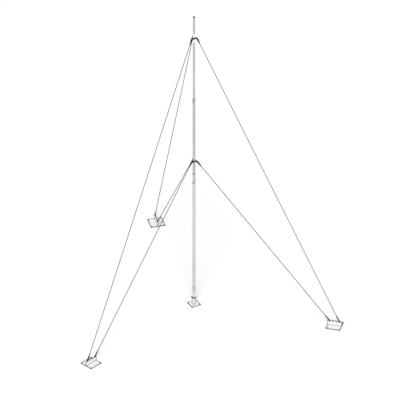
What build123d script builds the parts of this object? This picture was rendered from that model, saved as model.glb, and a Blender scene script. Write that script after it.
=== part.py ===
"""A guyed tubular radio mast, 10 m tall: three telescoped tubes on a foot plate, with two levels of
guy ropes running down to three anchor plates.

Millimetres, +Z up. The origin is the centre of the foot plate's underside. The guys lie in three
vertical planes, at 0, 120 and 240 degrees from +X, named right, rear and left."""

from build123d import *

import math
import os

# ---------------------------------------------------------------- driving sizes
sides = {"right": 0.0, "rear": 120.0, "left": 240.0}
contact_gap = 0.3  # what passes through a hole or a bore has this much room all round

# Tubes: each one slides inside the one below it.
upper_tube_diameter = 70.0
tube_wall = 4.0
tube_gap = 1.0
lower_tube_length = 4192.0
middle_tube_length = 3000.0
upper_tube_length = 3150.0
lower_overlap = 390.0
upper_overlap = 298.0
bush_depth = 20.0
lower_bush_flange = 10.0
upper_bush_flange = 12.0
bush_gap = 0.2
cap_flange = 6.0
cap_rim_step = 0.5
cap_plug_depth = 25.0

# Every hexagon bolt: its head and nut reach this far past the shank.
hex_head_height = 8.0
hex_head_step = 5.0
nut_thread_shown = 4.0

# Bolts and the handle that lock the telescoped joints.
joint_bolt_diameter = 12.0
lower_bolt_below_rim = 256.0
upper_bolt_below_rim = 54.0
lower_bolt_angle = 280.0
upper_bolt_angle = 265.0
upper_knob_diameter = 38.0
upper_knob_height = 18.0
upper_knob_neck = 6.0
upper_knob_grips = 6
upper_knob_grip_diameter = 11.0
upper_knob_edge = 2.0
handle_reach = 26.0
handle_bar_diameter = 12.0
handle_bar_length = 112.0
handle_knob_radius = 10.0
handle_bar_tilt = 48.0

# Foot.
foot_plate_side = 300.0
foot_plate_thickness = 10.0
foot_plate_turn = 45.0
foot_hole_spacing = 240.0
plate_hole_diameter = 22.0
plate_corner_radius = 6.0
plate_edge = 1.5
foot_stub_height = 330.0
foot_stub_wall = 5.0
foot_socket_height = 208.0
foot_socket_wall = 6.0
foot_clamp_height = 38.0
foot_clamp_wall = 12.0
foot_clamp_slit = 5.0
foot_clamp_ear_thickness = 10.0
foot_clamp_ear_reach = 20.0
foot_clamp_angle = 195.0
foot_sleeve_height = 168.0
foot_sleeve_wall = 5.0
foot_bolt_diameter = 10.0
foot_bolt_edge = 48.0
foot_bolt_angle = 285.0
earth_clamp_above_sleeve = 153.0
earth_clamp_height = 16.0
earth_clamp_wall = 3.0
earth_clamp_tab = 24.0
earth_clamp_angle = 105.0

# Guy collars.
lower_collar_above_joint = 450.0
upper_collar_below_top = 724.0
collar_height = 46.0
collar_wall = 10.0
collar_ear_reach = 90.0
collar_ear_radius = 20.0
collar_ear_thickness = 12.0
collar_screw_diameter = 8.0
collar_screw_length = 22.0
collar_sleeve_height = 310.0
collar_sleeve_wall = 3.0

# Anchors.
guy_circle_radius = 3930.0
anchor_plate_side = 430.0
anchor_plate_thickness = 10.0
anchor_hole_spacing = 350.0
lug_height = 160.0
lug_thickness = 12.0
lug_corner_cut = 30.0
lug_hole_diameter = 22.0
lug_hole_below_top = 32.0
lug_hole_spacing = 97.0
lug_hole_count = 4

# Rope, with its eye at the top.
rope_diameter = 18.0
rope_fit_gap = 0.1
thimble_eye_radius = 17.0
thimble_wall = 2.5
thimble_groove_depth = 6.0
thimble_flange = 2.0
eye_half_angle = 24.0
ferrule_diameter = 38.0
ferrule_length = 56.0
ferrule_ahead_of_throat = 13.0
ferrule_edge = 4.0

# Shackles on the collar ears.
shackle_bar_diameter = 14.0
shackle_side_gap = 9.0
shackle_leg_length = 33.0
shackle_eye_radius = 16.0
shackle_eye_thickness = 17.0
shackle_pin_diameter = 18.0

# Turnbuckles on the anchor lugs.
jaw_side_gap = 1.0
jaw_cheek_thickness = 8.0
jaw_cheek_radius = 16.0
jaw_depth = 58.0
jaw_block_length = 10.0
jaw_pin_diameter = 16.0

# Clevis pins: a head on one side, and on the other a thin collar and the shank's tail.
pin_head_height = 8.0
pin_head_step = 4.0
pin_collar_height = 2.0
pin_tail_length = 8.0

# The turnbuckles' threads, bodies and rope terminals.
thread_diameter = 16.0
jaw_thread_shown = 8.0
body_length = 92.0
body_height = 40.0
body_thickness = 16.0
body_window_length = 50.0
body_window_height = 20.0
body_boss_diameter = 28.0
body_end_length = 21.0
thread_in_window = 12.0
stud_thread_shown = 6.0
terminal_length = 52.0
terminal_diameter = 30.0
terminal_rope_depth = 42.0
terminal_edge = 3.0

# ---------------------------------------------------------------- worked out from them
middle_tube_diameter = upper_tube_diameter + 2 * (tube_gap + tube_wall)
lower_tube_diameter = middle_tube_diameter + 2 * (tube_gap + tube_wall)

foot_stub_top = foot_plate_thickness + foot_stub_height
lower_rim = foot_stub_top + lower_tube_length
middle_tube_bottom = lower_rim - lower_overlap
middle_rim = middle_tube_bottom + middle_tube_length
upper_tube_bottom = middle_rim - upper_overlap
upper_rim = upper_tube_bottom + upper_tube_length

foot_bore = lower_tube_diameter + 2 * contact_gap
foot_clamp_bottom = foot_plate_thickness + foot_socket_height
foot_clamp_top = foot_clamp_bottom + foot_clamp_height
foot_sleeve_top = foot_clamp_top + foot_sleeve_height
foot_bolt_heights = (foot_clamp_top + foot_bolt_edge, foot_sleeve_top - foot_bolt_edge)
earth_clamp_bottom = foot_sleeve_top + earth_clamp_above_sleeve

lower_joint_bolt_height = lower_rim - lower_bolt_below_rim
upper_joint_bolt_height = middle_rim - upper_bolt_below_rim

# Each collar's middle height, and the diameter of what it is clamped on.
collar_sleeve_outside = upper_tube_diameter + 2 * (contact_gap + collar_sleeve_wall)
collars = {
    "lower": (lower_rim + lower_collar_above_joint, middle_tube_diameter),
    "upper": (upper_rim - upper_collar_below_top, collar_sleeve_outside),
}

anchor_radius = guy_circle_radius + anchor_plate_side / 2
lug_top = anchor_plate_thickness + lug_height
lug_hole_height = lug_top - lug_hole_below_top
lug_hole_offsets = [
    (index - (lug_hole_count - 1) / 2) * lug_hole_spacing for index in range(lug_hole_count)
]
guy_hole_offsets = {"lower": lug_hole_offsets[0], "upper": lug_hole_offsets[-1]}

shackle_half = collar_ear_thickness / 2 + shackle_side_gap + shackle_bar_diameter / 2
shackle_width = 2 * shackle_half + shackle_eye_thickness
bow_inside = shackle_half - shackle_bar_diameter / 2
thimble_width = rope_diameter + 2 * thimble_flange
thimble_seat = shackle_leg_length + math.sqrt(bow_inside**2 - (thimble_width / 2) ** 2)
eye_centre = thimble_seat + thimble_eye_radius - contact_gap
eye_rope_radius = thimble_eye_radius + thimble_wall + rope_diameter / 2
eye_throat = eye_centre + eye_rope_radius / math.sin(math.radians(eye_half_angle))
ferrule_start = eye_throat - ferrule_ahead_of_throat

jaw_gap = lug_thickness + 2 * jaw_side_gap
jaw_width = jaw_gap + 2 * jaw_cheek_thickness
jaw_end = jaw_depth + jaw_block_length
body_start = jaw_end + jaw_thread_shown
body_end = body_start + body_length
body_middle = (body_start + body_end) / 2
window_start = body_middle - body_window_length / 2
window_end = body_middle + body_window_length / 2
terminal_start = body_end + stud_thread_shown
terminal_end = terminal_start + terminal_length
rope_end = terminal_end - terminal_rope_depth


# ---------------------------------------------------------------- planes
def direction(angle):
    """The level unit vector at this angle from +X."""
    return Vector(math.cos(math.radians(angle)), math.sin(math.radians(angle)), 0)


def upright_plane(angle):
    """The vertical plane of one set of guys: its x runs outwards and its y runs up."""
    outwards = direction(angle)
    return Plane(origin=(0, 0, 0), x_dir=outwards, z_dir=outwards.cross(Vector(0, 0, 1)))


def level_plane(height, angle=0.0, outwards=0.0):
    """A level plane at this height, turned to this angle, centred this far out."""
    return Plane(
        origin=direction(angle) * outwards + Vector(0, 0, height),
        x_dir=direction(angle),
        z_dir=(0, 0, 1),
    )


def cross_plane(height, angle, outwards=0.0):
    """An upright plane that faces along this angle, for bolts that lie level."""
    return Plane(
        origin=direction(angle) * outwards + Vector(0, 0, height),
        x_dir=(0, 0, 1),
        z_dir=direction(angle),
    )


def guy_planes(level, angle):
    """Planes at the collar ear's hole and at the turnbuckle's pin, each with x along the guy.

    The pin bears on the side of its hole that faces the mast top."""
    upright = upright_plane(angle)
    collar_z = collars[level][0]
    hole_reach = anchor_radius + guy_hole_offsets[level]
    ear = upright.from_local_coords((collar_ear_reach, collar_z, 0))
    hole = upright.from_local_coords((hole_reach, lug_hole_height, 0))
    up_the_guy = (Vector(*ear) - Vector(*hole)).normalized()
    pin = Vector(*hole) + up_the_guy * (lug_hole_diameter - jaw_pin_diameter) / 2
    top = Plane(origin=ear, x_dir=-up_the_guy, z_dir=upright.z_dir)
    bottom = Plane(origin=pin, x_dir=up_the_guy, z_dir=upright.z_dir)
    return top, bottom


foot_bolt_planes = [cross_plane(height, foot_bolt_angle) for height in foot_bolt_heights]
guys = {
    (level, side): guy_planes(level, angle) for level in collars for side, angle in sides.items()
}


# ---------------------------------------------------------------- common shapes
def save(part, name):
    """Labels a finished piece and writes it."""
    part.label = name
    export_step(part, f"parts/{name}.step")


def hex_bolt(across_pieces, diameter, shank_start, shank_end):
    """A bolt along the plane's normal, with its head at shank_end and its nut at shank_start."""
    bolt_tip = shank_start - hex_head_height - nut_thread_shown
    head_radius = diameter / 2 + hex_head_step
    with BuildPart() as bolt:
        with BuildSketch(across_pieces.offset(bolt_tip)):
            Circle(diameter / 2)
        extrude(amount=shank_end - bolt_tip)
        with BuildSketch(across_pieces.offset(shank_end)):
            RegularPolygon(head_radius, 6)
        extrude(amount=hex_head_height)
        with BuildSketch(across_pieces.offset(shank_start)):
            RegularPolygon(head_radius, 6)
        extrude(amount=-hex_head_height)
    return bolt.part


def bolt_room(plane, diameter, reach=lower_tube_diameter):
    """A rod along the plane's normal that cuts a hole, with room for the bolt that goes through."""
    with BuildPart() as rod:
        with BuildSketch(plane):
            Circle(diameter / 2 + contact_gap)
        extrude(amount=reach, both=True)
    return rod.part


def headed_pin(plane, diameter, width):
    """A clevis pin along the plane's normal: a head on one side and a collar on the other."""
    with BuildPart() as pin:
        with BuildSketch(plane.offset(-width / 2 - pin_tail_length)):
            Circle(diameter / 2)
        extrude(amount=width + pin_tail_length)
        with BuildSketch(plane.offset(width / 2)):
            Circle(diameter / 2 + pin_head_step)
        extrude(amount=pin_head_height)
        with BuildSketch(plane.offset(-width / 2)):
            Circle(diameter / 2 + pin_head_step)
        extrude(amount=-pin_collar_height)
    return pin.part


def tube(bottom, length, outside, wall):
    """An upright round tube about the mast's axis."""
    with BuildPart() as round_tube:
        with BuildSketch(level_plane(bottom)):
            Circle(outside / 2)
            Circle(outside / 2 - wall, mode=Mode.SUBTRACT)
        extrude(amount=length)
    return round_tube.part


# ---------------------------------------------------------------- foot
def make_foot():
    with BuildPart() as base_plate:
        with BuildSketch(level_plane(0, foot_plate_turn)):
            RectangleRounded(foot_plate_side, foot_plate_side, plate_corner_radius)
            with GridLocations(foot_hole_spacing, foot_hole_spacing, 2, 2):
                Circle(plate_hole_diameter / 2, mode=Mode.SUBTRACT)
        extrude(amount=foot_plate_thickness)
        chamfer(base_plate.faces().sort_by(Axis.Z)[-1].outer_wire().edges(), plate_edge)
    save(base_plate.part, "base_plate")

    across_stub = foot_bolt_planes[0]
    socket_outside = lower_tube_diameter + 2 * foot_socket_wall
    with BuildPart() as stub:
        add(tube(foot_plate_thickness, foot_stub_height, lower_tube_diameter, foot_stub_wall))
        add(tube(foot_plate_thickness, foot_socket_height, socket_outside, foot_socket_wall))
        add(bolt_room(across_stub, foot_bolt_diameter), mode=Mode.SUBTRACT)
    save(stub.part, "foot_stub")

    clamp_outside = foot_bore / 2 + foot_clamp_wall
    ear_width = foot_clamp_slit + 2 * foot_clamp_ear_thickness
    ear_end = clamp_outside + foot_clamp_ear_reach
    ear_bolt = clamp_outside + foot_clamp_ear_reach / 2
    clamp_middle = foot_clamp_bottom + foot_clamp_height / 2
    across_ears = Plane(
        origin=direction(foot_clamp_angle) * ear_bolt + Vector(0, 0, clamp_middle),
        x_dir=(0, 0, 1),
        z_dir=direction(foot_clamp_angle + 90),
    )
    with BuildPart() as clamp:
        with BuildSketch(level_plane(foot_clamp_bottom, foot_clamp_angle)):
            Circle(clamp_outside)
            with Locations((ear_end / 2, 0)):
                Rectangle(ear_end, ear_width)
            Circle(foot_bore / 2, mode=Mode.SUBTRACT)
            with Locations((ear_end / 2, 0)):
                Rectangle(ear_end, foot_clamp_slit, mode=Mode.SUBTRACT)
        extrude(amount=foot_clamp_height)
        add(bolt_room(across_ears, foot_bolt_diameter, ear_width), mode=Mode.SUBTRACT)
    save(clamp.part, "foot_clamp")

    sleeve_outside = foot_bore / 2 + foot_sleeve_wall
    with BuildPart() as sleeve:
        add(tube(foot_clamp_top, foot_sleeve_height, 2 * sleeve_outside, foot_sleeve_wall))
        for through in foot_bolt_planes:
            add(bolt_room(through, foot_bolt_diameter), mode=Mode.SUBTRACT)
    save(sleeve.part, "foot_sleeve")

    with BuildPart() as bolts:
        add(hex_bolt(across_ears, foot_bolt_diameter, -ear_width / 2, ear_width / 2))
        for through in foot_bolt_planes:
            add(hex_bolt(through, foot_bolt_diameter, -sleeve_outside, sleeve_outside))
    save(bolts.part, "foot_bolts")

    band_outside = foot_bore / 2 + earth_clamp_wall
    tab_end = band_outside + earth_clamp_tab
    with BuildPart() as band:
        with BuildSketch(level_plane(earth_clamp_bottom, earth_clamp_angle)):
            Circle(band_outside)
            with Locations((tab_end / 2, 0)):
                Rectangle(tab_end, 2 * earth_clamp_wall)
            Circle(foot_bore / 2, mode=Mode.SUBTRACT)
        extrude(amount=earth_clamp_height)
    save(band.part, "earth_clamp")


# ---------------------------------------------------------------- mast tubes
def make_tubes():
    across_lower_joint = cross_plane(lower_joint_bolt_height, lower_bolt_angle)
    across_upper_joint = cross_plane(upper_joint_bolt_height, upper_bolt_angle)

    with BuildPart() as lower:
        add(tube(foot_stub_top, lower_tube_length, lower_tube_diameter, tube_wall))
        add(bolt_room(foot_bolt_planes[1], foot_bolt_diameter), mode=Mode.SUBTRACT)
        add(bolt_room(across_lower_joint, joint_bolt_diameter), mode=Mode.SUBTRACT)
    save(lower.part, "lower_tube")

    with BuildPart() as middle:
        add(tube(middle_tube_bottom, middle_tube_length, middle_tube_diameter, tube_wall))
        add(bolt_room(across_lower_joint, joint_bolt_diameter), mode=Mode.SUBTRACT)
        add(bolt_room(across_upper_joint, joint_bolt_diameter), mode=Mode.SUBTRACT)
    save(middle.part, "middle_tube")

    with BuildPart() as upper:
        add(tube(upper_tube_bottom, upper_tube_length, upper_tube_diameter, tube_wall))
        add(bolt_room(across_upper_joint, joint_bolt_diameter), mode=Mode.SUBTRACT)
    save(upper.part, "upper_tube")

    for name, rim, flange, inner, outer in (
        ("lower_joint_bush", lower_rim, lower_bush_flange, middle_tube_diameter, lower_tube_diameter),
        ("upper_joint_bush", middle_rim, upper_bush_flange, upper_tube_diameter, middle_tube_diameter),
    ):
        sleeve_outside = outer - 2 * tube_wall - 2 * bush_gap
        bore = inner + 2 * bush_gap
        with BuildPart() as bush:
            add(tube(rim - bush_depth, bush_depth, sleeve_outside, (sleeve_outside - bore) / 2))
            add(tube(rim, flange, outer, (outer - bore) / 2))
        save(bush.part, name)

    with BuildPart() as cap:
        with BuildSketch(level_plane(upper_rim)):
            Circle(upper_tube_diameter / 2 - cap_rim_step)
        extrude(amount=cap_flange)
        with BuildSketch(level_plane(upper_rim)):
            Circle(upper_tube_diameter / 2 - tube_wall - bush_gap)
        extrude(amount=-cap_plug_depth)
    save(cap.part, "top_cap")

    half_lower = lower_tube_diameter / 2
    half_middle = middle_tube_diameter / 2
    bar_end = half_lower + handle_reach
    bar_plane = Plane(
        origin=across_lower_joint.origin + across_lower_joint.z_dir * bar_end,
        z_dir=Vector(0, 0, 1).rotate(Axis((0, 0, 0), across_lower_joint.z_dir), handle_bar_tilt - 90),
    )
    with BuildPart() as handle:
        add(hex_bolt(across_lower_joint, joint_bolt_diameter, -half_lower, half_lower))
        with BuildSketch(across_lower_joint.offset(half_lower)):
            Circle(joint_bolt_diameter / 2)
        extrude(amount=handle_reach)
        with BuildSketch(bar_plane):
            Circle(handle_bar_diameter / 2)
        extrude(amount=handle_bar_length / 2, both=True)
        for end in (-1, 1):
            with Locations(bar_plane.offset(end * handle_bar_length / 2)):
                Sphere(handle_knob_radius)
    save(handle.part, "lower_joint_handle")

    bolt = hex_bolt(across_upper_joint, joint_bolt_diameter, -half_middle, half_middle)
    save(bolt, "upper_joint_bolt")

    knob_start = half_middle + hex_head_height
    knob_plane = across_upper_joint.offset(knob_start + upper_knob_neck)
    grip_circle = upper_knob_diameter / 2 + upper_knob_grip_diameter / 4
    with BuildPart() as knob:
        with BuildSketch(knob_plane):
            Circle(upper_knob_diameter / 2)
        extrude(amount=upper_knob_height)
        fillet(knob.edges().filter_by(GeomType.CIRCLE), upper_knob_edge)
        with BuildSketch(knob_plane):
            with PolarLocations(grip_circle, upper_knob_grips):
                Circle(upper_knob_grip_diameter / 2)
        extrude(amount=upper_knob_height, mode=Mode.SUBTRACT)
        with BuildSketch(across_upper_joint.offset(knob_start)):
            Circle(joint_bolt_diameter / 2 + hex_head_step)
        extrude(amount=upper_knob_neck)
    save(knob.part, "upper_joint_knob")


# ---------------------------------------------------------------- guy collars
def collar_screw_planes(height):
    """Planes facing outwards, half way between the ears."""
    half_way = 180 / len(sides)
    return [cross_plane(height, angle + half_way) for angle in sides.values()]


def make_collars():
    sleeve_bottom = collars["upper"][0] - collar_sleeve_height / 2
    sleeve = tube(sleeve_bottom, collar_sleeve_height, collar_sleeve_outside, collar_sleeve_wall)
    save(sleeve, "upper_collar_sleeve")

    for level, (height, seat_diameter) in collars.items():
        inside = seat_diameter / 2 + contact_gap
        outside = inside + collar_wall
        with BuildPart() as collar:
            add(tube(height - collar_height / 2, collar_height, 2 * outside, collar_wall))
            for angle in sides.values():
                root = inside + collar_wall / 2
                with BuildSketch(upright_plane(angle)):
                    with Locations(((root + collar_ear_reach) / 2, height)):
                        Rectangle(collar_ear_reach - root, 2 * collar_ear_radius)
                    with Locations((collar_ear_reach, height)):
                        Circle(collar_ear_radius)
                        Circle(shackle_pin_diameter / 2 + contact_gap, mode=Mode.SUBTRACT)
                extrude(amount=collar_ear_thickness / 2, both=True)
            for screw_plane in collar_screw_planes(height):
                middle_of_wall = screw_plane.offset(inside + collar_wall / 2)
                add(bolt_room(middle_of_wall, collar_screw_diameter, collar_wall), mode=Mode.SUBTRACT)
        save(collar.part, f"{level}_guy_collar")

    with BuildPart() as screws:
        for height, seat_diameter in collars.values():
            for screw_plane in collar_screw_planes(height):
                tip = screw_plane.offset(seat_diameter / 2)
                with BuildSketch(tip):
                    Circle(collar_screw_diameter / 2)
                extrude(amount=collar_screw_length)
                with BuildSketch(tip.offset(collar_screw_length)):
                    RegularPolygon(collar_screw_diameter / 2 + hex_head_step, 6)
                extrude(amount=hex_head_height)
    save(screws.part, "collar_screws")


# ---------------------------------------------------------------- anchors
def make_anchors():
    for side, angle in sides.items():
        with BuildPart() as plate:
            with BuildSketch(level_plane(0, angle, anchor_radius)):
                RectangleRounded(anchor_plate_side, anchor_plate_side, plate_corner_radius)
                with GridLocations(anchor_hole_spacing, anchor_hole_spacing, 2, 2):
                    Circle(plate_hole_diameter / 2, mode=Mode.SUBTRACT)
            extrude(amount=anchor_plate_thickness)
            chamfer(plate.faces().sort_by(Axis.Z)[-1].outer_wire().edges(), plate_edge)
        save(plate.part, f"anchor_plate_{side}")

        inner = anchor_radius - anchor_plate_side / 2
        outer = anchor_radius + anchor_plate_side / 2
        with BuildPart() as lug:
            with BuildSketch(upright_plane(angle)):
                with BuildLine():
                    Polyline(
                        (inner, anchor_plate_thickness),
                        (outer, anchor_plate_thickness),
                        (outer, lug_top - lug_corner_cut),
                        (outer - lug_corner_cut, lug_top),
                        (inner + lug_corner_cut, lug_top),
                        (inner, lug_top - lug_corner_cut),
                        close=True,
                    )
                make_face()
                with Locations([(anchor_radius + offset, lug_hole_height) for offset in lug_hole_offsets]):
                    Circle(lug_hole_diameter / 2, mode=Mode.SUBTRACT)
            extrude(amount=lug_thickness / 2, both=True)
        save(lug.part, f"anchor_lug_{side}")


# ---------------------------------------------------------------- upper ends of the guys
# Everything on a guy is modelled with the guy along X and its pin along Z, and placed afterwards.
across_guy = Plane.XY
side_of_guy = Plane.XZ


def square_to_guy(distance):
    """The plane square to the guy, this far along it."""
    return Plane.YZ.offset(distance)


def rope_eye(radius):
    """The rope round the thimble: two legs and an arc, cut off square where the legs meet."""
    angle = math.radians(90 - eye_half_angle)
    touch = (eye_centre + eye_rope_radius * math.cos(angle), eye_rope_radius * math.sin(angle))
    half_way = (
        eye_centre - eye_rope_radius * math.sin(math.radians(eye_half_angle / 2)),
        eye_rope_radius * math.cos(math.radians(eye_half_angle / 2)),
    )
    far = (eye_centre - eye_rope_radius, 0)
    with BuildPart() as eye:
        with BuildLine(across_guy) as half_eye:
            Line((eye_throat, 0), touch)
            ThreePointArc(touch, half_way, far)
        with BuildSketch(Plane(origin=half_eye.line @ 0, z_dir=half_eye.line % 0)):
            Circle(radius)
        sweep()
        mirror(about=side_of_guy)
        split(bisect_by=square_to_guy(eye_throat), keep=Keep.BOTTOM)
    return eye.part


def rope_run(radius, length):
    """The straight rope that leaves the eye."""
    with BuildPart() as run:
        with BuildSketch(square_to_guy(eye_throat)):
            Circle(radius)
        extrude(amount=length)
    return run.part


def teardrop(radius, thickness):
    """A flat slab with an eye's outline: an arc, and two straight sides that meet in a point."""
    angle = math.radians(90 - eye_half_angle)
    tip = (eye_centre + radius / math.sin(math.radians(eye_half_angle)), 0)
    high = (eye_centre + radius * math.cos(angle), radius * math.sin(angle))
    low = (high[0], -high[1])
    with BuildPart() as slab:
        with BuildSketch(across_guy):
            with BuildLine():
                Line(tip, high)
                ThreePointArc(high, (eye_centre - radius, 0), low)
                Line(low, tip)
            make_face()
        extrude(amount=thickness / 2, both=True)
    return slab.part


def shackle_bow():
    """A round bar bent into a U, with an eye at each end for the pin."""
    with BuildPart() as bow:
        with BuildLine(side_of_guy) as bend:
            Line((0, -shackle_half), (shackle_leg_length, -shackle_half))
            ThreePointArc(
                (shackle_leg_length, -shackle_half),
                (shackle_leg_length + shackle_half, 0),
                (shackle_leg_length, shackle_half),
            )
            Line((shackle_leg_length, shackle_half), (0, shackle_half))
        with BuildSketch(Plane(origin=bend.line @ 0, z_dir=bend.line % 0)):
            Circle(shackle_bar_diameter / 2)
        sweep()
        for side in (-1, 1):
            with BuildSketch(across_guy.offset(side * shackle_half)):
                Circle(shackle_eye_radius)
            extrude(amount=shackle_eye_thickness / 2, both=True)
        add(bolt_room(across_guy, shackle_pin_diameter, shackle_width), mode=Mode.SUBTRACT)
    return bow.part


def thimble(groove):
    """A steel channel bent round in a teardrop, cut off short of the ferrule."""
    outside = thimble_eye_radius + thimble_wall + thimble_groove_depth
    with BuildPart() as channel:
        add(teardrop(outside, thimble_width))
        add(teardrop(thimble_eye_radius, 2 * thimble_width), mode=Mode.SUBTRACT)
        add(groove, mode=Mode.SUBTRACT)
        with BuildSketch(square_to_guy(ferrule_start - contact_gap)):
            Circle(ferrule_diameter)
        extrude(amount=ferrule_length, mode=Mode.SUBTRACT)
    return channel.part


def ferrule(bore):
    """The pressed sleeve that closes the eye."""
    end = ferrule_start + ferrule_length
    radius = ferrule_diameter / 2
    with BuildPart() as sleeve:
        with BuildSketch(across_guy):
            with BuildLine():
                Polyline(
                    (ferrule_start, 0),
                    (ferrule_start, radius - ferrule_edge / 2),
                    (ferrule_start + ferrule_edge / 2, radius),
                    (end - 2 * ferrule_edge, radius),
                    (end, radius - ferrule_edge),
                    (end, 0),
                    close=True,
                )
            make_face()
        revolve(axis=Axis.X)
        add(bore, mode=Mode.SUBTRACT)
    return sleeve.part


# ---------------------------------------------------------------- lower ends of the guys
def turnbuckle_jaw():
    """A fork over the anchor lug, with a threaded shank that screws into the body."""
    slot_length = jaw_depth + 2 * jaw_cheek_radius
    with BuildPart() as jaw:
        with BuildSketch(across_guy):
            Circle(jaw_cheek_radius)
            with Locations((jaw_end / 2, 0)):
                Rectangle(jaw_end, 2 * jaw_cheek_radius)
        extrude(amount=jaw_width / 2, both=True)
        with BuildSketch(across_guy):
            with Locations((jaw_depth - slot_length / 2, 0)):
                Rectangle(slot_length, 2 * jaw_width)
        extrude(amount=jaw_gap / 2, both=True, mode=Mode.SUBTRACT)
        with BuildSketch(square_to_guy(jaw_end)):
            Circle(thread_diameter / 2)
        extrude(amount=window_start + thread_in_window - jaw_end)
        add(bolt_room(across_guy, jaw_pin_diameter, jaw_width), mode=Mode.SUBTRACT)
    return jaw.part


def turnbuckle_body():
    """An open frame with a threaded boss at each end."""
    with BuildPart() as body:
        with BuildSketch(across_guy):
            with Locations((body_middle, 0)):
                RectangleRounded(body_length - body_end_length, body_height, body_end_length / 2)
        extrude(amount=body_thickness / 2, both=True)
        with BuildSketch(square_to_guy(body_start), square_to_guy(body_end - body_end_length)):
            Circle(body_boss_diameter / 2)
        extrude(amount=body_end_length)
        with BuildSketch(across_guy):
            with Locations((body_middle, 0)):
                RectangleRounded(body_window_length, body_window_height, body_window_height / 3)
        extrude(amount=body_boss_diameter, both=True, mode=Mode.SUBTRACT)
        with BuildSketch(square_to_guy(body_start)):
            Circle(thread_diameter / 2 + contact_gap)
        extrude(amount=body_length, mode=Mode.SUBTRACT)
    return body.part


def rope_terminal():
    """A socket on the rope's end, with a threaded stud that screws into the body."""
    radius = terminal_diameter / 2
    with BuildPart() as terminal:
        with BuildSketch(across_guy):
            with BuildLine():
                Polyline(
                    (window_end - thread_in_window, 0),
                    (window_end - thread_in_window, thread_diameter / 2),
                    (terminal_start, thread_diameter / 2),
                    (terminal_start, radius),
                    (terminal_end - 3 * terminal_edge, radius),
                    (terminal_end, radius - terminal_edge),
                    (terminal_end, 0),
                    close=True,
                )
            make_face()
        revolve(axis=Axis.X)
        with BuildSketch(square_to_guy(rope_end - rope_fit_gap)):
            Circle(rope_diameter / 2 + rope_fit_gap)
        extrude(amount=terminal_length, mode=Mode.SUBTRACT)
    return terminal.part


# ---------------------------------------------------------------- guys
def save_copies(shape, name, planes):
    """Writes one node that holds a copy of the shape on each of the planes."""
    with BuildPart() as copies:
        with Locations(*planes):
            add(shape)
    save(copies.part, name)


def make_guys():
    with BuildPart() as groove:
        add(rope_eye(rope_diameter / 2 + rope_fit_gap))
        add(rope_run(rope_diameter / 2 + rope_fit_gap, ferrule_length))
    at_top = {
        "shackles": shackle_bow(),
        "shackle_pins": headed_pin(across_guy, shackle_pin_diameter, shackle_width),
        "thimbles": thimble(groove.part),
        "ferrules": ferrule(groove.part),
    }
    at_bottom = {
        "turnbuckle_jaws": turnbuckle_jaw(),
        "jaw_pins": headed_pin(across_guy, jaw_pin_diameter, jaw_width),
        "turnbuckle_bodies": turnbuckle_body(),
        "rope_terminals": rope_terminal(),
    }
    for level in collars:
        tops = [guys[level, side][0] for side in sides]
        bottoms = [guys[level, side][1] for side in sides]
        for name, shape in at_top.items():
            save_copies(shape, f"{level}_{name}", tops)
        for name, shape in at_bottom.items():
            save_copies(shape, f"{level}_{name}", bottoms)
        span = (tops[0].origin - bottoms[0].origin).length
        eye = rope_eye(rope_diameter / 2)
        run = rope_run(rope_diameter / 2, span - eye_throat - rope_end)
        for side, top in zip(sides, tops):
            rope = Compound(children=[eye.moved(Location(top)), run.moved(Location(top))])
            save(rope, f"guy_rope_{level}_{side}")


os.makedirs("parts", exist_ok=True)
make_foot()
make_tubes()
make_collars()
make_anchors()
make_guys()
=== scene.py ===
"""The radio mast's looks: finishes, stranded ropes, threads, nuts, welds, floor, light and camera."""

import math

import bmesh
import bpy
from mathutils import Matrix, Vector


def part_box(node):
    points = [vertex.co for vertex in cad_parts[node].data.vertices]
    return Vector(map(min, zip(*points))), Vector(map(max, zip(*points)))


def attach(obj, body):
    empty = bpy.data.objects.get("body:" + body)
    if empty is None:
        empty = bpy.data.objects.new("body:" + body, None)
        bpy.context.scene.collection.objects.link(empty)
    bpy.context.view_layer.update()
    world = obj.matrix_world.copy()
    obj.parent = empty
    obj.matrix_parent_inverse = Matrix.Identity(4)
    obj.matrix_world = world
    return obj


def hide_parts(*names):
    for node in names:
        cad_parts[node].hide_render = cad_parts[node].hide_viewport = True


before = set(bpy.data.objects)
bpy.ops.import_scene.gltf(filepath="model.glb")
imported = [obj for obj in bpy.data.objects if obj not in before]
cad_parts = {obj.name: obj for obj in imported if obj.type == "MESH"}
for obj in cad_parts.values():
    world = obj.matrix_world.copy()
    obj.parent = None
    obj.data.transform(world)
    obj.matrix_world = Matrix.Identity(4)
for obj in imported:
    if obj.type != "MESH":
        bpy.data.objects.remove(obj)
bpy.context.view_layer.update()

# ---------------------------------------------------------------- camera and light, in metres and degrees
view_azimuth = 15.0
view_elevation = math.degrees(math.atan(1 / math.sqrt(2)))  # isometric
view_width = 11.388
view_aim_height = 3.616
view_aim_right = 0.171
view_distance = 40.0
sun_azimuth = 10.0
sun_elevation = 42.0
sun_strength = 2.1
sun_softness = 28.0
sky_strength = 0.55

# ---------------------------------------------------------------- sizes of the solids, in metres
side_angles = {"right": 0.0, "rear": 120.0, "left": 240.0}
levels = ("lower", "upper")
contact_gap = 0.0003
sharp_angle = 40.0  # degrees, past which a smooth piece keeps a crease

rope_lay = 0.100
rope_step = rope_lay / 10
eye_line_step = 0.006
eye_arc_steps = 22
strand_sides = 8
wires_in_strand = 12
strand_count = 6
strand_radius = 0.0032
strand_circle = 0.0060
eye_half_angle = 24.0
eye_centre = 0.05990
eye_rope_radius = 0.0285
terminal_depth = 0.042

collar_wall = 0.010
collar_nut_radius = 0.0078
collar_nut_bore = 0.0041
collar_nut_height = 0.0065
ear_radius = 0.020
ear_thickness = 0.012
ear_reach = 0.090
shackle_width = 0.061
shackle_pin_radius = 0.009

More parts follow.
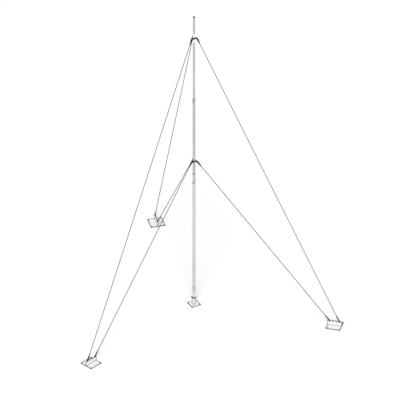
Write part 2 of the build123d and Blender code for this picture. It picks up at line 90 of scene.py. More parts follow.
lug_hole_below_top = 0.032
lug_hole_spacing = 0.097
lug_corner_cut = 0.030
lug_thickness = 0.012
plate_thickness = 0.010
hole_radius = 0.011
anchor_hole_spacing = 0.350
foot_hole_spacing = 0.240
foot_plate_side = 0.300
pin_play = 0.003
jaw_width = 0.030
jaw_pin_radius = 0.008
jaw_end = 0.068
body_start = 0.076
body_end = 0.168
window_start = 0.097
window_end = 0.147
thread_in_window = 0.012
terminal_start = 0.174
terminal_end = 0.226
thread_radius = 0.008
thread_pitch = 0.002
thread_depth = 0.0009
locknut_radius = 0.0150
nut_edge = 0.0006
pin_washer_radius = 0.0150
pin_washer_thickness = 0.0018
cotter_radius = 0.0009
cotter_beyond_cheek = 0.0050

# Weld beads: a bead's radius, how far its middle stands off the corner, and the length of a ripple.
anchor_bead = 0.0042
foot_bead = 0.0046
collar_bead = 0.0034
plate_bead_off = 0.0012
collar_bead_off = 0.0008
plate_ripple = 0.0035
collar_ripple = 0.003
ripple_swell = 0.14

cap_ribs = 36
cap_rib_radius = 0.0008
cap_rib_height = 0.0022
cap_plug_gap = 0.0042
earth_screw_beyond_band = 0.0145

# Where the finishes start and end on the mast.
rub_length = 0.35
splash_above_stub = 0.5
splash_on_upper_tubes = 0.2


# ---------------------------------------------------------------- mesh tools
def finished(name, bm, material, smooth=True):
    """Turns a bmesh into a piece that rides with the mast."""
    mesh = bpy.data.meshes.new(name)
    bmesh.ops.recalc_face_normals(bm, faces=bm.faces)
    bm.to_mesh(mesh)
    bm.free()
    for polygon in mesh.polygons:
        polygon.use_smooth = smooth
    mesh.materials.append(material)
    piece = bpy.data.objects.new(name, mesh)
    bpy.context.collection.objects.link(piece)
    if smooth:
        mesh.set_sharp_from_angle(angle=math.radians(sharp_angle))
    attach(piece, "root")
    return piece


def bridge(bm, first, second):
    """Quads between two rings with the same number of points."""
    count = len(first)
    for i in range(count):
        j = (i + 1) % count
        bm.faces.new((first[i], first[j], second[j], second[i]))


def ring(bm, matrix, points):
    return [bm.verts.new(matrix @ Vector(p)) for p in points]


def turned(bm, matrix, profile, segments=24):
    """A solid of revolution about the local X axis, from (distance, radius) pairs."""
    rings = []
    for x, radius in profile:
        points = []
        for i in range(segments):
            a = math.tau * i / segments
            points.append((x, radius * math.cos(a), radius * math.sin(a)))
        rings.append(ring(bm, matrix, points))
    for first, second in zip(rings, rings[1:]):
        bridge(bm, first, second)
    bm.faces.new(rings[0])
    bm.faces.new(rings[-1][::-1])


def washer(bm, matrix, start, thickness, outside, inside, sides=24, edge=0.0):
    """A flat ring about the local X axis; six sides make a nut, and edge bevels its rims."""
    loops = []
    for x, radius in (
        (start, inside),
        (start, outside - edge),
        (start + edge, outside),
        (start + thickness - edge, outside),
        (start + thickness, outside - edge),
        (start + thickness, inside),
    ):
        points = []
        for i in range(sides):
            a = math.tau * i / sides
            points.append((x, radius * math.cos(a), radius * math.sin(a)))
        loops.append(ring(bm, matrix, points))
    for first, second in zip(loops, loops[1:] + loops[:1]):
        bridge(bm, first, second)


def tube_along(bm, points, radius, sides=6, ripple=0.0, closed=False):
    """A round bar along 3D points. Ripple swells every other ring, as on a weld bead."""
    points = [Vector(p) for p in points]
    rings = []
    normal = None
    last = len(points) - 1
    for index, point in enumerate(points):
        ahead = points[(index + 1) % len(points)] if closed else points[min(index + 1, last)]
        behind = points[index - 1] if closed or index else points[0]
        tangent = (ahead - behind).normalized()
        if normal is None:
            other = Vector((0, 0, 1)) if abs(tangent.z) < 0.9 else Vector((1, 0, 0))
            normal = tangent.cross(other).normalized()
        normal = (normal - tangent * normal.dot(tangent)).normalized()
        side = tangent.cross(normal)
        swell = radius * (1 + ripple * (index % 2))
        loop = []
        for i in range(sides):
            a = math.tau * i / sides
            loop.append(bm.verts.new(point + swell * (math.cos(a) * normal + math.sin(a) * side)))
        rings.append(loop)
    for first, second in zip(rings, rings[1:]):
        bridge(bm, first, second)
    if closed:
        bridge(bm, rings[-1], rings[0])
    else:
        bm.faces.new(rings[0])
        bm.faces.new(rings[-1][::-1])


def line_points(start, end, step):
    start, end = Vector(start), Vector(end)
    count = max(2, round((end - start).length / step))
    return [start.lerp(end, i / count) for i in range(count + 1)]


def circle_points(centre, radius, step):
    count = max(8, 2 * round(math.pi * radius / step))
    centre = Vector(centre)
    turn = [math.tau * i / count for i in range(count)]
    return [centre + radius * Vector((math.cos(a), math.sin(a), 0)) for a in turn]


# ---------------------------------------------------------------- frames
def spin(angle):
    return Matrix.Rotation(math.radians(angle), 4, "Z")


def along(origin, direction, across):
    """A matrix whose X runs along the direction and whose Z runs across it."""
    x = direction.normalized()
    z = across.normalized()
    y = z.cross(x)
    matrix = Matrix((x, y, z)).transposed().to_4x4()
    matrix.translation = origin
    return matrix


def guy_frames(level):
    """For the right guy: frames at the collar ear's hole and at the jaw's pin, and their distance."""
    collar_low, collar_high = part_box(f"{level}_guy_collar")
    lug_low, lug_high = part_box("anchor_lug_right")
    ear = Vector((ear_reach, 0, (collar_low.z + collar_high.z) / 2))
    middle = (lug_low.x + lug_high.x) / 2
    offset = 1.5 * lug_hole_spacing * (1 if level == "upper" else -1)
    hole = Vector((middle + offset, 0, lug_high.z - lug_hole_below_top))
    up = (ear - hole).normalized()
    pin = hole + pin_play * up
    across = Vector((0, -1, 0))
    return along(ear, -up, across), along(pin, up, across), (ear - pin).length


def tube_radius(node):
    low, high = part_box(node)
    return (high.x - low.x) / 2


guys = {level: guy_frames(level) for level in levels}
collar_outside = {
    "lower": tube_radius("middle_tube") + contact_gap + collar_wall,
    "upper": tube_radius("upper_collar_sleeve") + contact_gap + collar_wall,
}


# ---------------------------------------------------------------- node materials
scuff_fade = 0.02
plate_light = 0.92
plate_edge_grime = 0.027
plate_hole_grime = 0.013
lug_edge_grime = 0.017
lug_hole_grime = 0.017
grime_wobble = 0.004
grime_colour = (0.020, 0.0195, 0.019)
stain_colour = (0.50, 0.485, 0.46)
splash_colour = (0.21, 0.20, 0.185)


class Look:
    """A material whose colour, roughness, metal and bump come from nodes."""

    def __init__(self, name):
        self.material = bpy.data.materials.new(name)
        self.material.use_nodes = True
        self.nodes = self.material.node_tree.nodes
        self.links = self.material.node_tree.links
        self.shader = self.nodes["Principled BSDF"]
        self.place = self.nodes.new("ShaderNodeTexCoord").outputs["Object"]

    def node(self, kind, inputs=(), **settings):
        made = self.nodes.new(kind)
        for key, value in settings.items():
            setattr(made, key, value)
        for key, value in dict(inputs).items():
            if isinstance(value, bpy.types.NodeSocket):
                self.links.new(value, made.inputs[key])
            else:
                made.inputs[key].default_value = value
        return made

    def math(self, operation, first, second=0.0, clamp=False):
        made = self.node("ShaderNodeMath", {0: first, 1: second}, operation=operation, use_clamp=clamp)
        return made.outputs[0]

    def moved(self, scale=(1, 1, 1), centre=(0, 0, 0), angle=0.0):
        """Coordinates about a centre, turned about Z and stretched."""
        shifted = self.node("ShaderNodeVectorMath", {0: self.place, 1: centre}, operation="SUBTRACT")
        turned_back = self.node(
            "ShaderNodeVectorRotate",
            {"Vector": shifted.outputs[0], "Angle": math.radians(-angle)},
            rotation_type="Z_AXIS",
        )
        rotated = turned_back.outputs[0]
        scaled = self.node("ShaderNodeVectorMath", {0: rotated, 1: scale}, operation="MULTIPLY")
        return scaled.outputs[0]

    def noise(self, scale, stretch=(1, 1, 1), detail=4.0, roughness=0.55, distortion=0.0):
        made = self.node(
            "ShaderNodeTexNoise",
            {
                "Vector": self.moved(stretch),
                "Scale": scale,
                "Detail": detail,
                "Roughness": roughness,
                "Distortion": distortion,
            },
        )
        return made.outputs["Fac"]

    def range(self, value, low, high, to_low=0.0, to_high=1.0):
        made = self.node(
            "ShaderNodeMapRange",
            {"Value": value, "From Min": low, "From Max": high, "To Min": to_low, "To Max": to_high},
        )
        return made.outputs["Result"]

    def mix(self, amount, first, second):
        made = self.node("ShaderNodeMix", data_type="RGBA")
        for index, value in ((0, amount), (6, first), (7, second)):
            if isinstance(value, bpy.types.NodeSocket):
                self.links.new(value, made.inputs[index])
            else:
                made.inputs[index].default_value = value if index == 0 else (*value, 1.0)
        return made.outputs[2]

    def grey(self, value):
        return (value, value * 1.003, value * 1.01)

    def bump(self, *layers):
        """Each layer is a height and its depth in metres."""
        normal = None
        for height, depth in layers:
            made = self.node("ShaderNodeBump", {"Height": height, "Distance": depth, "Strength": 1.0})
            if normal is not None:
                self.links.new(normal, made.inputs["Normal"])
            normal = made.outputs["Normal"]
        self.links.new(normal, self.shader.inputs["Normal"])

    def colour(self, value):
        self.links.new(value, self.shader.inputs["Base Color"])

    def roughness(self, value):
        self.links.new(value, self.shader.inputs["Roughness"])

    def metal(self, value):
        if isinstance(value, bpy.types.NodeSocket):
            self.links.new(value, self.shader.inputs["Metallic"])
        else:
            self.shader.inputs["Metallic"].default_value = value


def aluminium(name, light, splash_top, scuffs):
    """Drawn tube: long streaks, weathering, rings rubbed where the tubes slide, dirt near the ground.

    Each scuff is the height where rubbing starts and the height where it ends."""
    look = Look(name)
    streaks = look.noise(90.0, stretch=(1, 1, 0.012), detail=6.0, roughness=0.65)
    cloud = look.noise(2.2, stretch=(3, 3, 0.5), detail=5.0)
    specks = look.noise(150.0, detail=2.0)
    streaky = look.range(streaks, 0.3, 0.7, -0.06, 0.06)
    tone = look.math("ADD", streaky, look.range(cloud, 0.3, 0.7, -0.07, 0.05))
    height = look.node("ShaderNodeSeparateXYZ", {0: look.place}).outputs["Z"]
    clean = look.mix(look.range(tone, -0.13, 0.11), look.grey(light * 0.80), look.grey(light * 1.10))
    oxide = look.range(look.noise(14.0, stretch=(1, 1, 0.35), detail=7.0, roughness=0.7), 0.56, 0.72)
    aged = look.mix(look.math("MULTIPLY", oxide, 0.45), clean, look.grey(light * 1.22))
    rub = None
    for low, high in scuffs:
        above = look.range(height, low, low + scuff_fade)
        inside = look.math("MULTIPLY", above, look.range(height, high, high - scuff_fade))
        rub = inside if rub is None else look.math("MAXIMUM", rub, inside)
    scratch = look.noise(60.0, stretch=(0.4, 0.4, 9.0), detail=5.0, roughness=0.8)
    rubbed = look.math("MULTIPLY", rub, look.range(scratch, 0.44, 0.60))
    worn = look.mix(look.math("MULTIPLY", rubbed, 0.55), aged, look.grey(light * 0.62))
    wave = look.math("ADD", height, look.range(cloud, 0.3, 0.7, -0.12, 0.12))
    speckled = look.range(specks, 0.35, 0.65, 0.25, 1.0)
    splash = look.math("MULTIPLY", look.range(wave, splash_top, 0.0), speckled)
    look.colour(look.mix(look.math("MULTIPLY", splash, 0.5), worn, splash_colour))
    matt = look.math("ADD", look.range(streaks, 0.3, 0.7, 0.36, 0.50), look.math("MULTIPLY", oxide, 0.14))
    look.roughness(look.math("ADD", matt, look.math("MULTIPLY", splash, 0.3), clamp=True))
    look.metal(look.range(splash, 0.0, 1.0, 0.35, 0.1))
    look.bump((streaks, 0.00010), (look.math("MULTIPLY", rubbed, -1.0), 0.00012), (specks, 0.00005))
    return look.material


def zinc_layers(look, light):
    """Hot-dip zinc: spangle, cloudy patches and white bloom. Returns its colour, roughness and height."""
    cells = look.node("ShaderNodeTexVoronoi", {"Vector": look.moved(), "Scale": 62.0, "Randomness": 1.0})
    spangle = look.node("ShaderNodeSeparateColor", {0: cells.outputs["Color"]}).outputs["Red"]
    cloud = look.noise(9.0, detail=6.0, roughness=0.6)
    bloom = look.range(look.noise(26.0, detail=8.0, roughness=0.72, distortion=0.6), 0.55, 0.72)
    grain = look.noise(420.0, detail=2.0)
    base = look.mix(spangle, look.grey(light * 0.86), look.grey(light * 1.06))
    patchy = look.mix(look.range(cloud, 0.35, 0.65), base, look.grey(light * 0.93))
    colour = look.mix(look.math("MULTIPLY", bloom, 0.5), patchy, look.grey(min(0.94, light * 1.25)))
    roughness = look.math("ADD", look.range(spangle, 0, 1, 0.42, 0.58), look.math("MULTIPLY", bloom, 0.2))
    return colour, roughness, spangle, grain


def zinc(name, light, metal=0.12):
    look = Look(name)
    colour, roughness, spangle, grain = zinc_layers(look, light)
    look.colour(colour)
    look.roughness(roughness)
    look.metal(metal)
    look.bump((spangle, 0.00006), (grain, 0.00008))
    return look.material


def length_of(look, first, second):
    """The length of a flat vector from its two parts."""
    squares = look.math("ADD", look.math("MULTIPLY", first, first), look.math("MULTIPLY", second, second))
    return look.math("SQRT", squares)


def soiled_zinc(look, light, inset, to_hole, edge_grime, hole_grime):
    """Zinc with grime along a plate's outline and round its holes.

    Inset is a point's distance from the outline, and to_hole its distance from a hole's middle. The
    last two say how far the grime reaches from the outline and from a hole's rim."""
    colour, roughness, spangle, grain = zinc_layers(look, light)
    ragged_noise = look.noise(38.0, detail=6.0, roughness=0.7)
    wobble = look.range(ragged_noise, 0.3, 0.7, -grime_wobble, grime_wobble)
    outline = look.range(look.math("ADD", inset, wobble), edge_grime, 0.6 * edge_grime)
    ragged = look.math("ADD", to_hole, look.math("MULTIPLY", wobble, 0.5))
    rim = look.range(ragged, hole_radius + hole_grime, hole_radius + 0.5 * hole_grime)
    band = look.math("MAXIMUM", outline, rim)
    stain = look.range(look.noise(11.0, detail=7.0, roughness=0.68), 0.52, 0.74)
    soiled = look.mix(look.math("MULTIPLY", stain, 0.22), colour, stain_colour)
    look.colour(look.mix(look.math("MULTIPLY", band, 0.95), soiled, grime_colour))
    look.roughness(look.math("ADD", roughness, look.math("MULTIPLY", band, 0.3), clamp=True))
    look.metal(look.range(band, 0, 1, 0.12, 0.0))
    look.bump((spangle, 0.00006), (grain, 0.00008), (look.math("MULTIPLY", band, grain), 0.0004))
    return look.material


def plate_zinc(name, light, centre, angle, half, hole_spacing, socket=0.0):
    """A square plate's finish. Grime also lies round a socket of this radius, where there is one."""
    look = Look(name)
    local = look.node("ShaderNodeSeparateXYZ", {0: look.moved(centre=centre, angle=angle)}).outputs
    x = look.math("ABSOLUTE", local["X"])
    y = look.math("ABSOLUTE", local["Y"])
    inset = look.math("SUBTRACT", half, look.math("MAXIMUM", x, y))
    from_hole_x = look.math("SUBTRACT", x, hole_spacing / 2)
    from_hole_y = look.math("SUBTRACT", y, hole_spacing / 2)
    if socket:
        from_middle = length_of(look, local["X"], local["Y"])
        from_socket = look.math("SUBTRACT", from_middle, socket - plate_edge_grime / 2)
        inset = look.math("MINIMUM", inset, from_socket)
    to_hole = length_of(look, from_hole_x, from_hole_y)
    return soiled_zinc(look, light, inset, to_hole, plate_edge_grime, plate_hole_grime)


def lug_zinc(name, light, centre, angle, half, low, high):
    """The finish of an upright lug with cut corners and four holes in a row."""
    look = Look(name)
    local = look.node("ShaderNodeSeparateXYZ", {0: look.moved(centre=centre, angle=angle)}).outputs
    x = look.math("ABSOLUTE", local["X"])
    to_end = look.math("SUBTRACT", half, x)
    to_top = look.math("SUBTRACT", high, local["Z"])
    to_corner = look.math("SUBTRACT", look.math("ADD", to_end, to_top), lug_corner_cut)
    to_chamfer = look.math("MULTIPLY", to_corner, 0.7071)
    inset = look.math("MINIMUM", look.math("MINIMUM", to_end, to_top), to_chamfer)
    inset = look.math("MINIMUM", inset, look.math("SUBTRACT", local["Z"], low))
    from_pair = look.math("ABSOLUTE", look.math("SUBTRACT", x, lug_hole_spacing))
    from_hole_x = look.math("SUBTRACT", from_pair, lug_hole_spacing / 2)
    from_hole_z = look.math("SUBTRACT", local["Z"], high - lug_hole_below_top)
    to_hole = length_of(look, from_hole_x, from_hole_z)
    return soiled_zinc(look, light, inset, to_hole, lug_edge_grime, lug_hole_grime)


def dark_hardware(name, dark, bare):
    """Black-coated forgings: fine orange peel, and bare metal where edges and high spots are rubbed."""
    look = Look(name)
    peel = look.noise(520.0, detail=3.0)
    patches = look.noise(45.0, detail=7.0, roughness=0.7)
    dust = look.range(look.noise(16.0, detail=4.0), 0.45, 0.75)
    soft = look.node("ShaderNodeBevel", {"Radius": 0.0016}, samples=4)
    hard = look.node("ShaderNodeNewGeometry").outputs["True Normal"]
    facing = look.node("ShaderNodeVectorMath", {0: soft.outputs[0], 1: hard}, operation="DOT_PRODUCT")
    edge = look.range(facing.outputs["Value"], 0.985, 0.86)
    worn = look.math("MULTIPLY", edge, look.range(patches, 0.42, 0.58))
    dusty = (dark * 2.4, dark * 2.3, dark * 2.2)
    dull = look.mix(look.math("MULTIPLY", dust, 0.35), (dark, dark, dark * 1.04), dusty)
    look.colour(look.mix(look.math("MULTIPLY", worn, 0.8), dull, look.grey(bare)))
    satin = look.range(peel, 0.3, 0.7, 0.46, 0.62)
    look.roughness(look.math("ADD", satin, look.math("MULTIPLY", worn, -0.14)))
    look.metal(look.math("MULTIPLY", worn, 0.85))
    look.bump((peel, 0.00006), (patches, 0.0001))
    look.shader.inputs["Specular IOR Level"].default_value = 0.12
    return look.material


def bright_steel(name, light):
    """Machined threads, pins and nuts with a dull oiled film."""
    look = Look(name)
    film = look.noise(70.0, detail=5.0)
    fine = look.noise(600.0, detail=2.0)
    look.colour(look.mix(look.range(film, 0.35, 0.65), look.grey(light * 0.6), look.grey(light)))
    look.roughness(look.range(film, 0.3, 0.7, 0.30, 0.48))
    look.metal(0.85)
    look.bump((fine, 0.00004))
    return look.material


def wire_rope_look(name):
    """Greased strands, with the wires as fine grooves along each strand's own coordinates, and painted shade
    darkening those grooves.
    """
    look = Look(name)
    around = look.node("ShaderNodeUVMap", uv_map="strand").outputs["UV"]
    parts = look.node("ShaderNodeSeparateXYZ", {0: around})
    turns = look.math("MULTIPLY", parts.outputs["X"], math.pi * wires_in_strand)
    wires = look.math("ABSOLUTE", look.math("SINE", turns))
    grease = look.noise(30.0, detail=5.0, roughness=0.65)
    dust = look.noise(400.0, detail=2.0)
    greasy = look.mix(look.range(grease, 0.35, 0.7), (0.006, 0.006, 0.007), (0.022, 0.0215, 0.021))
    # Painted shade: the colour goes darker in the grooves between the wires.
    groove_shade = look.range(wires, 0.0, 0.35)
    look.colour(look.mix(groove_shade, (0.003, 0.003, 0.003), greasy))
    look.roughness(look.range(dust, 0.3, 0.7, 0.50, 0.72))
    look.bump((wires, 0.00025), (dust, 0.00005))
    look.shader.inputs["Specular IOR Level"].default_value = 0.08
    return look.material


def moulded_plastic(name):
    """Black polythene, chalked a little by the sun."""
    look = Look(name)
    grain = look.noise(700.0, detail=3.0)
    chalk = look.noise(25.0, detail=6.0, roughness=0.65)
    look.colour(look.mix(look.range(chalk, 0.45, 0.75), (0.005, 0.005, 0.0055), (0.022, 0.022, 0.023)))
    look.roughness(look.range(grain, 0.3, 0.7, 0.48, 0.64))
    look.bump((grain, 0.00007))
    look.shader.inputs["Specular IOR Level"].default_value = 0.1
    return look.material


def floor_look():
    """A plain white floor that keeps shadows, lifted to pure white for the camera and for gloss."""
    look = Look("floor")
    look.shader.inputs["Base Color"].default_value = (0.9, 0.9, 0.9, 1)
    look.shader.inputs["Roughness"].default_value = 1.0
    look.shader.inputs["Specular IOR Level"].default_value = 0.0
    path = look.node("ShaderNodeLightPath")
    seen = look.math("MAXIMUM", path.outputs["Is Camera Ray"], path.outputs["Is Glossy Ray"])
    seen = look.math("MAXIMUM", seen, path.outputs["Is Transmission Ray"])
    look.shader.inputs["Emission Color"].default_value = (1, 1, 1, 1)
    look.links.new(look.math("MULTIPLY", seen, 0.12), look.shader.inputs["Emission Strength"])
    return look.material


# ---------------------------------------------------------------- guy ropes
def rope_path(straight_end):
    """Points along the rope's middle in the guy's frame: from the throat, round the eye and away."""
    half = math.radians(eye_half_angle)
    throat = eye_centre + eye_rope_radius / math.sin(half)
    touch_angle = math.pi / 2 - half

    def on_eye(angle):
        across = eye_rope_radius * math.sin(angle)
        return Vector((eye_centre + eye_rope_radius * math.cos(angle), across, 0))

    high = on_eye(touch_angle)
    path = line_points((throat, 0, 0), high, eye_line_step)
    for i in range(1, eye_arc_steps):
        path.append(on_eye(touch_angle + (math.tau - 2 * touch_angle) * i / eye_arc_steps))
    low = Vector((high.x, -high.y, 0))
    path += line_points(low, (throat, 0, 0), eye_line_step)
    path += line_points((throat, 0, 0), (straight_end, 0, 0), rope_step)[1:]
    return path


def add_rope(level, side, material):
    """One guy's strands, laid round the rope's middle, standing for the plain round rope."""
    top, _, length = guys[level]
    matrix = spin(side_angles[side]) @ top
    path = rope_path(length - terminal_end + terminal_depth)
    sides = strand_sides
    bm = bmesh.new()
    strand_uv = bm.loops.layers.uv.new("strand")
    across = Vector((0, 0, 1))
    stations = []
    travelled = 0.0
    for index, point in enumerate(path):
        if index:
            travelled += (point - path[index - 1]).length
        ahead = path[min(index + 1, len(path) - 1)]
        behind = path[max(index - 1, 0)]
        tangent = (ahead - behind).normalized()
        stations.append((point, across.cross(tangent), travelled))
    for strand in range(strand_count):
        rings = []
        for point, normal, distance in stations:
            turn = math.tau * (distance / rope_lay + strand / strand_count)
            middle = point + strand_circle * (math.cos(turn) * normal + math.sin(turn) * across)
            loop = []
            for i in range(sides):
                a = math.tau * i / sides
                offset = strand_radius * (math.cos(a) * normal + math.sin(a) * across)
                loop.append(bm.verts.new(matrix @ (middle + offset)))
            rings.append(loop)
        for index, (first, second) in enumerate(zip(rings, rings[1:])):
            start, end = stations[index][2], stations[index + 1][2]
            for i in range(sides):
                j = (i + 1) % sides
                face = bm.faces.new((first[i], first[j], second[j], second[i]))
                corners = ((i, start), (i + 1, start), (i + 1, end), (i, end))
                for loop, (step, distance) in zip(face.loops, corners):
                    loop[strand_uv].uv = (step / sides, distance / rope_lay)
        bm.faces.new(rings[0])
        bm.faces.new(rings[-1][::-1])
    rope = finished(f"stranded_rope_{level}_{side}", bm, material)
    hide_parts(f"guy_rope_{level}_{side}")


# ---------------------------------------------------------------- small parts of the guys
def each_guy(level, end):
    """The frames of the three guys of one level, at the top or at the bottom."""
    frame_at_end = guys[level][0] if end == "top" else guys[level][1]
    return [spin(angle) @ frame_at_end for angle in side_angles.values()]


def thread_profile(start, end):
    """Ridges from start to end, one to each turn of the thread."""
    profile = [(start, thread_radius)]
    x = start
    while x + thread_pitch <= end:
        profile.append((x + thread_pitch * 0.5, thread_radius + thread_depth))
        profile.append((x + thread_pitch, thread_radius))
        x += thread_pitch
    return profile


def add_threads(level, material):
    """Thread ridges on both studs where the turnbuckle's window shows them."""
    bm = bmesh.new()
    for matrix in each_guy(level, "bottom"):
        turned(bm, matrix, thread_profile(window_start + 0.0005, window_start + thread_in_window), 20)
        turned(bm, matrix, thread_profile(window_end - thread_in_window, window_end - 0.0005), 20)
    finished(f"{level}_stud_threads", bm, material)


def add_locknuts(level, material):
    """Thin hexagon nuts jammed against both ends of each turnbuckle."""
    bm = bmesh.new()
    for matrix in each_guy(level, "bottom"):
        for start, end in ((jaw_end + 2 * contact_gap, body_start), (body_end + contact_gap, terminal_start)):
            height = end - start - contact_gap
            washer(bm, matrix, start, height, locknut_radius, thread_radius + contact_gap, 6, 0.0010)
    finished(f"{level}_locknuts", bm, material, smooth=False)


def add_cotter_pins(level, material):
    """Split pins through the tails of the shackle pins and of the jaw pins."""
    bm = bmesh.new()
    for end, half_width, pin_radius in (
        ("top", shackle_width / 2, shackle_pin_radius),
        ("bottom", jaw_width / 2, jaw_pin_radius),
    ):
        z = -half_width - cotter_beyond_cheek
        reach = pin_radius + 0.0010
        eye = pin_radius + 0.0045
        for matrix in each_guy(level, end):
            for leg in (-1, 1):
                path = [
                    (eye + 0.0032, leg * 0.0002, z),
                    (eye + 0.0022, leg * 0.0024, z),
                    (eye, leg * 0.0032, z),
                    (eye - 0.0022, leg * 0.0024, z),
                    (reach, leg * 0.0009, z),
                    (-reach, leg * 0.0009, z),
                    (-reach - 0.0022, leg * 0.0026, z - 0.0004),
                    (-reach - 0.0034, leg * 0.0070, z - 0.0006),
                    (-reach - 0.0030, leg * 0.0120, z - 0.0006),
                ]
                tube_along(bm, [matrix @ Vector(p) for p in path], cotter_radius)
    finished(f"{level}_cotter_pins", bm, material)


def add_pin_washers(level, material):
    """Washers between each jaw's cheeks and the heads of its pin."""
    bm = bmesh.new()
    for matrix in each_guy(level, "bottom"):
        upright = matrix @ Matrix.Rotation(math.radians(-90), 4, "Y")
        for start in (-jaw_width / 2 - pin_washer_thickness, jaw_width / 2):
            bore = jaw_pin_radius + contact_gap
            washer(bm, upright, start, pin_washer_thickness, pin_washer_radius, bore, 28, 0.0004)
    finished(f"{level}_pin_washers", bm, material)


# ---------------------------------------------------------------- welds
def add_anchor_welds(material):
    """Fillet beads along both sides of each lug's foot."""
    lug_low, lug_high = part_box("anchor_lug_right")
    bm = bmesh.new()
    for angle in side_angles.values():
        for side in (-1, 1):
            y = side * (lug_thickness / 2 + plate_bead_off)
            z = plate_thickness + plate_bead_off
            start = spin(angle) @ Vector((lug_low.x + 0.004, y, z))
            end = spin(angle) @ Vector((lug_high.x - 0.004, y, z))
            tube_along(bm, line_points(start, end, plate_ripple), anchor_bead, 6, ripple_swell)
    finished("anchor_weld_beads", bm, material)


def add_foot_welds(material):
    """The bead that joins the foot's socket to its plate."""
    stub_low, stub_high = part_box("foot_stub")
    outside = (stub_high.x - stub_low.x) / 2
    bm = bmesh.new()
    centre = (0, 0, stub_low.z + plate_bead_off)
    path = circle_points(centre, outside + plate_bead_off, plate_ripple)
    tube_along(bm, path, foot_bead, 6, ripple_swell, closed=True)
    finished("foot_weld_bead", bm, material)


def add_collar_welds(material):
    """Upright beads at the roots of the collars' ears."""
    bm = bmesh.new()
    for level in levels:
        low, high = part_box(f"{level}_guy_collar")
        middle = (low.z + high.z) / 2
        half = ear_radius - 0.001
        outside = collar_outside[level]
        for angle in side_angles.values():
            for side in (-1, 1):
                y = side * (ear_thickness / 2 + collar_bead_off)
                x = math.sqrt(outside**2 - y**2) + collar_bead_off
                start = spin(angle) @ Vector((x, y, middle - half))
                end = spin(angle) @ Vector((x, y, middle + half))
                tube_along(bm, line_points(start, end, collar_ripple), collar_bead, 6, ripple_swell)
    finished("collar_weld_beads", bm, material)


# ---------------------------------------------------------------- collars, cap and foot
def add_collar_nuts(material):
    """Locknuts on the screws that grip the tube, tight against the collar."""
    bm = bmesh.new()
    for level in levels:
        low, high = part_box(f"{level}_guy_collar")
        middle = (low.z + high.z) / 2
        for angle in side_angles.values():
            half_way = 180 / len(side_angles)
            direction = spin(angle + half_way) @ Vector((1, 0, 0))
            matrix = along(Vector((0, 0, middle)), direction, Vector((0, 0, 1)))
            seat = collar_outside[level] - 0.0002
            washer(bm, matrix, seat, collar_nut_height, collar_nut_radius, collar_nut_bore, 6, nut_edge)
    finished("collar_locknuts", bm, material, smooth=False)


def add_top_cap(material):
    """A moulded cap: a low dome with a rounded rim and grip ribs, standing for the plain solid."""
    low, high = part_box("top_cap")
    tube_low, tube_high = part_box("upper_tube")
    rim = tube_high.z
    radius = (high.x - low.x) / 2
    plug = (tube_high.x - tube_low.x) / 2 - cap_plug_gap
    matrix = along(Vector((0, 0, 0)), Vector((0, 0, 1)), Vector((1, 0, 0)))
    bm = bmesh.new()
    profile = [
        (low.z, plug - 0.002),
        (low.z + 0.002, plug),
        (rim + 0.0001, plug),
        (rim + 0.0001, radius - 0.0004),
        (rim + 0.0008, radius),
        (rim + 0.0032, radius),
        (rim + 0.0042, radius - 0.0010),
        (rim + 0.0050, radius - 0.0040),
        (rim + 0.0057, radius * 0.55),
        (high.z, radius * 0.16),
    ]
    turned(bm, matrix, profile, 48)
    for i in range(cap_ribs):
        start = spin(i * 360 / cap_ribs) @ Vector((radius - 0.0004, 0, 0))
        start += Vector((0, 0, rim + 0.0009))
        tube_along(bm, [start, start + Vector((0, 0, cap_rib_height))], cap_rib_radius, 6)
    cap = finished("moulded_cap", bm, material)
    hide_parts("top_cap")


def add_earth_screw(material):
    """The earth clamp's screw, through its tab, with a nut on it."""
    low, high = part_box("earth_clamp")
    middle = (low.z + high.z) / 2
    band_radius = -low.y
    angle = 105.0
    out = spin(angle) @ Vector((band_radius + earth_screw_beyond_band, 0, 0))
    across = spin(angle + 90) @ Vector((1, 0, 0))
    matrix = along(out + Vector((0, 0, middle)), across, Vector((0, 0, 1)))
    bm = bmesh.new()
    turned(bm, matrix, [(0.003, 0.0066), (0.0036, 0.0072), (0.0072, 0.0072), (0.0078, 0.0066)], 6)
    washer(bm, matrix, -0.0072, 0.0042, 0.0072, 0.0030, 6, nut_edge)
    turned(bm, matrix, [(-0.0125, 0.0026), (-0.0120, 0.0030), (0.0, 0.0030)], 16)
    finished("earth_clamp_screw", bm, material, smooth=False)


# ---------------------------------------------------------------- stage
def view_direction(azimuth, elevation):
    """From the object towards the camera."""
    a = math.radians(azimuth)
    e = math.radians(elevation)
    return Vector((math.sin(a) * math.cos(e), -math.cos(a) * math.cos(e), math.sin(e)))


def add_camera():
    a = math.radians(view_azimuth)
    to_right = Vector((math.cos(a), math.sin(a), 0))
    aim = Vector((0, 0, view_aim_height)) + view_aim_right * to_right
    back = view_direction(view_azimuth, view_elevation)
    data = bpy.data.cameras.new("camera")
    data.type = "ORTHO"
    data.ortho_scale = view_width
    data.clip_end = 4 * view_distance
    camera = bpy.data.objects.new("camera", data)
    camera.location = aim + view_distance * back
    camera.rotation_euler = (-back).to_track_quat("-Z", "Y").to_euler()
    bpy.context.collection.objects.link(camera)
    bpy.context.scene.camera = camera


def add_light():
    sun = bpy.data.lights.new("sun", "SUN")
    sun.energy = sun_strength
    sun.angle = math.radians(sun_softness)
    lamp = bpy.data.objects.new("sun", sun)
    lamp.rotation_euler = view_direction(sun_azimuth, sun_elevation).to_track_quat("Z", "Y").to_euler()
    bpy.context.collection.objects.link(lamp)


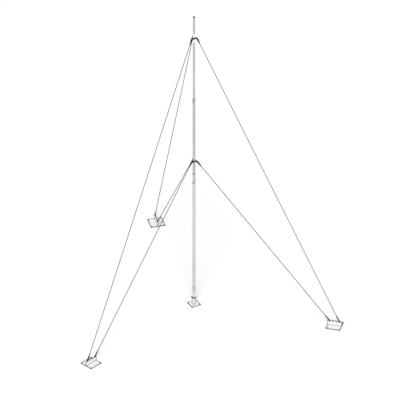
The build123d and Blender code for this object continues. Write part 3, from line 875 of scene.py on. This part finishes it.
def add_world():
    world = bpy.data.worlds.new("studio")
    world.use_nodes = True
    nodes = world.node_tree.nodes
    links = world.node_tree.links
    background = nodes["Background"]
    background.inputs["Color"].default_value = (1, 1, 1, 1)
    path = nodes.new("ShaderNodeLightPath")
    seen = path.outputs["Is Camera Ray"]
    for output in ("Is Glossy Ray", "Is Transmission Ray"):
        either = nodes.new("ShaderNodeMath")
        either.operation = "MAXIMUM"
        links.new(seen, either.inputs[0])
        links.new(path.outputs[output], either.inputs[1])
        seen = either.outputs[0]
    strength = nodes.new("ShaderNodeMapRange")
    strength.inputs["To Min"].default_value = sky_strength
    strength.inputs["To Max"].default_value = 1.0
    links.new(seen, strength.inputs["Value"])
    links.new(strength.outputs["Result"], background.inputs["Strength"])
    bpy.context.scene.world = world


def add_floor():
    size = 60.0
    corners = [(-size, -size, 0), (size, -size, 0), (size, size, 0), (-size, size, 0)]
    mesh = bpy.data.meshes.new("floor")
    mesh.from_pydata(corners, [], [(0, 1, 2, 3)])
    floor = bpy.data.objects.new("floor", mesh)
    bpy.context.collection.objects.link(floor)
    mesh.materials.append(floor_look())


# ---------------------------------------------------------------- finishes of the solids
def paint(node, material):
    """Gives a solid a better material through its material slots."""
    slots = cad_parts[node].material_slots
    for place in slots:
        place.material = material


def paint_solids(looks):
    joint_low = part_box("lower_joint_bush")[1].z
    joint_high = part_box("upper_joint_bush")[1].z
    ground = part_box("foot_stub")[1].z + splash_above_stub
    for tube, light, splash_top, scuff in (
        ("lower_tube", 0.60, ground, (joint_low - rub_length, joint_low)),
        ("middle_tube", 0.50, splash_on_upper_tubes, (joint_low, joint_low + rub_length)),
        ("upper_tube", 0.53, splash_on_upper_tubes, (joint_high, joint_high + rub_length)),
    ):
        paint(tube, aluminium(f"{tube}_finish", light, splash_top, [scuff]))
    paint("foot_stub", looks["dull_zinc"])
    paint("foot_sleeve", looks["worn_zinc"])
    paint("earth_clamp", looks["tinned"])
    paint("upper_collar_sleeve", looks["zinc"])
    socket = tube_radius("foot_stub")
    half = foot_plate_side / 2
    centre = (0, 0, 0)
    foot = plate_zinc("base_plate_finish", plate_light, centre, 45.0, half, foot_hole_spacing, socket)
    paint("base_plate", foot)
    low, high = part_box("anchor_plate_right")
    lug_low, lug_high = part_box("anchor_lug_right")
    middle = (low.x + high.x) / 2
    half = (high.x - low.x) / 2
    for side, angle in side_angles.items():
        centre = tuple(spin(angle) @ Vector((middle, 0, 0)))
        finish = f"anchor_plate_{side}_finish"
        plate = plate_zinc(finish, plate_light, centre, angle, half, anchor_hole_spacing)
        paint(f"anchor_plate_{side}", plate)
        finish = f"anchor_lug_{side}_finish"
        lug = lug_zinc(finish, plate_light, centre, angle, half, lug_low.z, lug_high.z)
        paint(f"anchor_lug_{side}", lug)
    for node in ("lower_joint_bush", "upper_joint_bush", "upper_joint_knob"):
        paint(node, looks["plastic"])
    hardware = [
        "foot_clamp",
        "foot_bolts",
        "lower_joint_handle",
        "upper_joint_bolt",
        "collar_screws",
    ]
    for level in levels:
        for kind in (
            "guy_collar",
            "shackles",
            "shackle_pins",
            "thimbles",
            "ferrules",
            "turnbuckle_jaws",
            "jaw_pins",
            "turnbuckle_bodies",
            "rope_terminals",
        ):
            hardware.append(f"{level}_{kind}")
    for node in hardware:
        paint(node, looks["hardware"])


def main():
    add_camera()
    looks = {
        "zinc": zinc("zinc_finish", 0.88),
        "dull_zinc": zinc("dull_zinc_finish", 0.66),
        "worn_zinc": zinc("worn_zinc_finish", 0.76),
        "tinned": zinc("tinned_band_finish", 0.34),
        "weld": zinc("weld_finish", 0.22),
        "hardware": dark_hardware("black_hardware", 0.008, 0.16),
        "threads": bright_steel("oiled_threads", 0.20),
        "rope": wire_rope_look("greased_wire_rope"),
        "plastic": moulded_plastic("black_plastic_finish"),
    }
    paint_solids(looks)
    for level in levels:
        for side in side_angles:
            add_rope(level, side, looks["rope"])
        add_threads(level, looks["threads"])
        add_locknuts(level, looks["hardware"])
        add_cotter_pins(level, looks["threads"])
        add_pin_washers(level, looks["hardware"])
    add_anchor_welds(looks["weld"])
    add_foot_welds(looks["weld"])
    add_collar_welds(looks["hardware"])
    add_collar_nuts(looks["hardware"])
    add_top_cap(looks["plastic"])
    add_earth_screw(looks["threads"])
    add_floor()
    add_world()
    add_light()
    bpy.context.scene.view_settings.view_transform = "Standard"


main()
